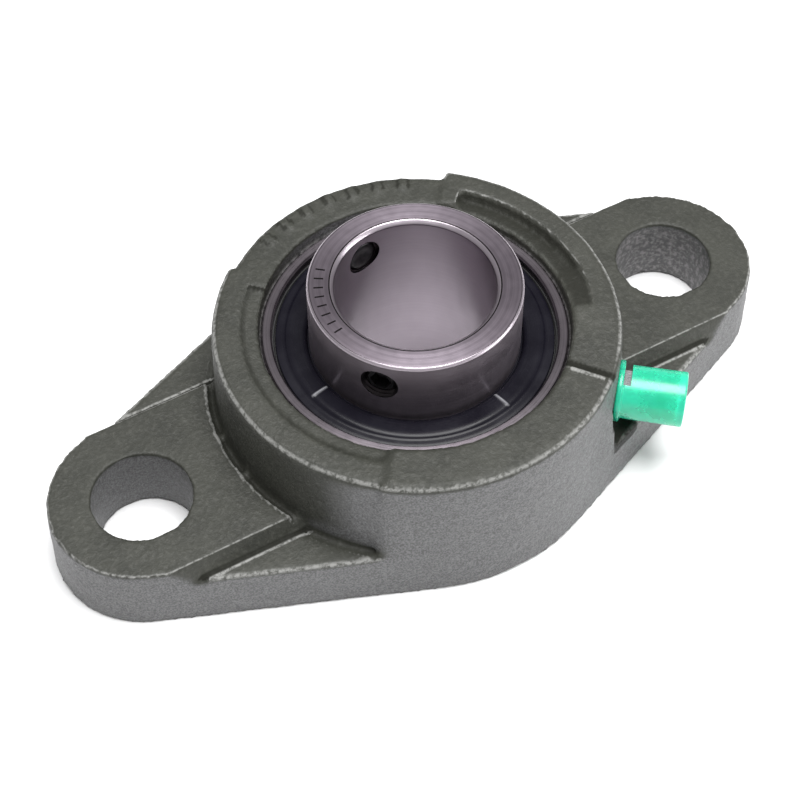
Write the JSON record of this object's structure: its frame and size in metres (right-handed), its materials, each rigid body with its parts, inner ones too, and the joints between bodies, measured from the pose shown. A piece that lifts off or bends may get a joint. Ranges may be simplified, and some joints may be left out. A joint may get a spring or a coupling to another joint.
{
  "type": "flange mount bearing",
  "caption": "Two-bolt rhombus flange bearing unit: cast housing, self-aligning insert ball bearing with set-screw locking, capped grease nipple.",
  "frame": {"origin": "on the shaft axis, in the plane of the mounting face, midway between the two bolt holes", "axes": "+X along the line of the two bolt holes, +Z along the shaft axis out of the hub, towards the set screws"},
  "size_m": [0.13, 0.068, 0.0358],
  "materials": {
    "casting": "painted olive-grey, cast grain",
    "ring_steel": "fine ground",
    "bearing_steel": "ground",
    "black_slinger": "gloss black",
    "rubber": "matte",
    "pressed_steel": "pressed sheet",
    "ball_steel": "polished",
    "black_oxide": "black oxide, oiled",
    "zinc_plate": "zinc plated",
    "spring_steel": "drawn wire",
    "hardened_steel": "ground",
    "green_plastic": "translucent green"
  },
  "bodies": {
    "housing": {"housing": "casting", "grease_nipple": "zinc_plate", "nipple_spring": "spring_steel"},
    "locating_pin": {"locating_pin": "hardened_steel"},
    "outer_ring": {"outer_ring": "bearing_steel", "front_seal": "rubber", "back_seal": "rubber", "front_seal_core": "pressed_steel", "back_seal_core": "pressed_steel"},
    "inner_ring": {"inner_ring": "ring_steel", "front_slinger": "black_slinger", "back_slinger": "black_slinger"},
    "cage": {"cage_front": "pressed_steel", "cage_back": "pressed_steel", "cage_rivets": "pressed_steel"},
    "nipple_ball": {"nipple_ball": "ball_steel"},
    "nipple_cap": {"nipple_cap": "green_plastic"},
    "ball_1": {"ball_1": "ball_steel"},
    "ball_2": {"ball_2": "ball_steel"},
    "ball_3": {"ball_3": "ball_steel"},
    "ball_4": {"ball_4": "ball_steel"},
    "ball_5": {"ball_5": "ball_steel"},
    "ball_6": {"ball_6": "ball_steel"},
    "ball_7": {"ball_7": "ball_steel"},
    "ball_8": {"ball_8": "ball_steel"},
    "ball_9": {"ball_9": "ball_steel"},
    "set_screw_1": {"set_screw_1": "black_oxide"},
    "set_screw_2": {"set_screw_2": "black_oxide"}
  },
  "joints": [
    {"name": "align_pitch", "type": "hinge", "parent": "housing", "child": "locating_pin", "pos_m": [0, 0, 0.016], "axis": [-0.6428, -0.766, 0], "range_deg": [-3, 3]},
    {"name": "align_roll", "type": "hinge", "parent": "locating_pin", "child": "outer_ring", "pos_m": [0, 0, 0.016], "axis": [-0.766, 0.6428, 0], "range_deg": [-3, 3]},
    {"name": "inner_spin", "type": "hinge", "parent": "outer_ring", "child": "inner_ring", "pos_m": [0, 0, 0.016], "axis": [0, 0, 1], "continuous": true},
    {"name": "cage_spin", "type": "hinge", "parent": "outer_ring", "child": "cage", "pos_m": [0, 0, 0.016], "axis": [0, 0, 1], "continuous": true},
    {"name": "ball_1_spin", "type": "hinge", "parent": "cage", "child": "ball_1", "pos_m": [0.01952, 0, 0.016], "axis": [0, 0, 1], "continuous": true},
    {"name": "ball_2_spin", "type": "hinge", "parent": "cage", "child": "ball_2", "pos_m": [0.01495, 0.01255, 0.016], "axis": [0, 0, 1], "continuous": true},
    {"name": "ball_3_spin", "type": "hinge", "parent": "cage", "child": "ball_3", "pos_m": [0.00339, 0.01922, 0.016], "axis": [0, 0, 1], "continuous": true},
    {"name": "ball_4_spin", "type": "hinge", "parent": "cage", "child": "ball_4", "pos_m": [-0.00976, 0.0169, 0.016], "axis": [0, 0, 1], "continuous": true},
    {"name": "ball_5_spin", "type": "hinge", "parent": "cage", "child": "ball_5", "pos_m": [-0.01834, 0.00668, 0.016], "axis": [0, 0, 1], "continuous": true},
    {"name": "ball_6_spin", "type": "hinge", "parent": "cage", "child": "ball_6", "pos_m": [-0.01834, -0.00668, 0.016], "axis": [0, 0, 1], "continuous": true},
    {"name": "ball_7_spin", "type": "hinge", "parent": "cage", "child": "ball_7", "pos_m": [-0.00976, -0.0169, 0.016], "axis": [0, 0, 1], "continuous": true},
    {"name": "ball_8_spin", "type": "hinge", "parent": "cage", "child": "ball_8", "pos_m": [0.00339, -0.01922, 0.016], "axis": [0, 0, 1], "continuous": true},
    {"name": "ball_9_spin", "type": "hinge", "parent": "cage", "child": "ball_9", "pos_m": [0.01495, -0.01255, 0.016], "axis": [0, 0, 1], "continuous": true},
    {"name": "set_screw_1_travel", "type": "slide", "parent": "inner_ring", "child": "set_screw_1", "axis": [-0.7547, -0.6561, 0], "range_m": [-0.0008, 0.006]},
    {"name": "set_screw_2_travel", "type": "slide", "parent": "inner_ring", "child": "set_screw_2", "axis": [-0.1908, 0.9816, 0], "range_m": [-0.0008, 0.006]},
    {"name": "valve_travel", "type": "slide", "parent": "housing", "child": "nipple_ball", "axis": [0.766, -0.6428, 0], "range_m": [-0.0006, 0], "stiffness_N_per_m": 60, "springref_m": 0.001, "deforming": ["nipple_spring"]},
    {"name": "cap_pull", "type": "slide", "parent": "housing", "child": "nipple_cap", "axis": [0.766, -0.6428, 0], "range_m": [0, 0.02]}
  ],
  "couplings": [
    {"joint": "cage_spin", "follows": "inner_spin", "ratio": 0.39833},
    {"joint": "ball_1_spin", "follows": "inner_spin", "ratio": -2.3574},
    {"joint": "ball_2_spin", "follows": "inner_spin", "ratio": -2.3574},
    {"joint": "ball_3_spin", "follows": "inner_spin", "ratio": -2.3574},
    {"joint": "ball_4_spin", "follows": "inner_spin", "ratio": -2.3574},
    {"joint": "ball_5_spin", "follows": "inner_spin", "ratio": -2.3574},
    {"joint": "ball_6_spin", "follows": "inner_spin", "ratio": -2.3574},
    {"joint": "ball_7_spin", "follows": "inner_spin", "ratio": -2.3574},
    {"joint": "ball_8_spin", "follows": "inner_spin", "ratio": -2.3574},
    {"joint": "ball_9_spin", "follows": "inner_spin", "ratio": -2.3574}
  ]
}
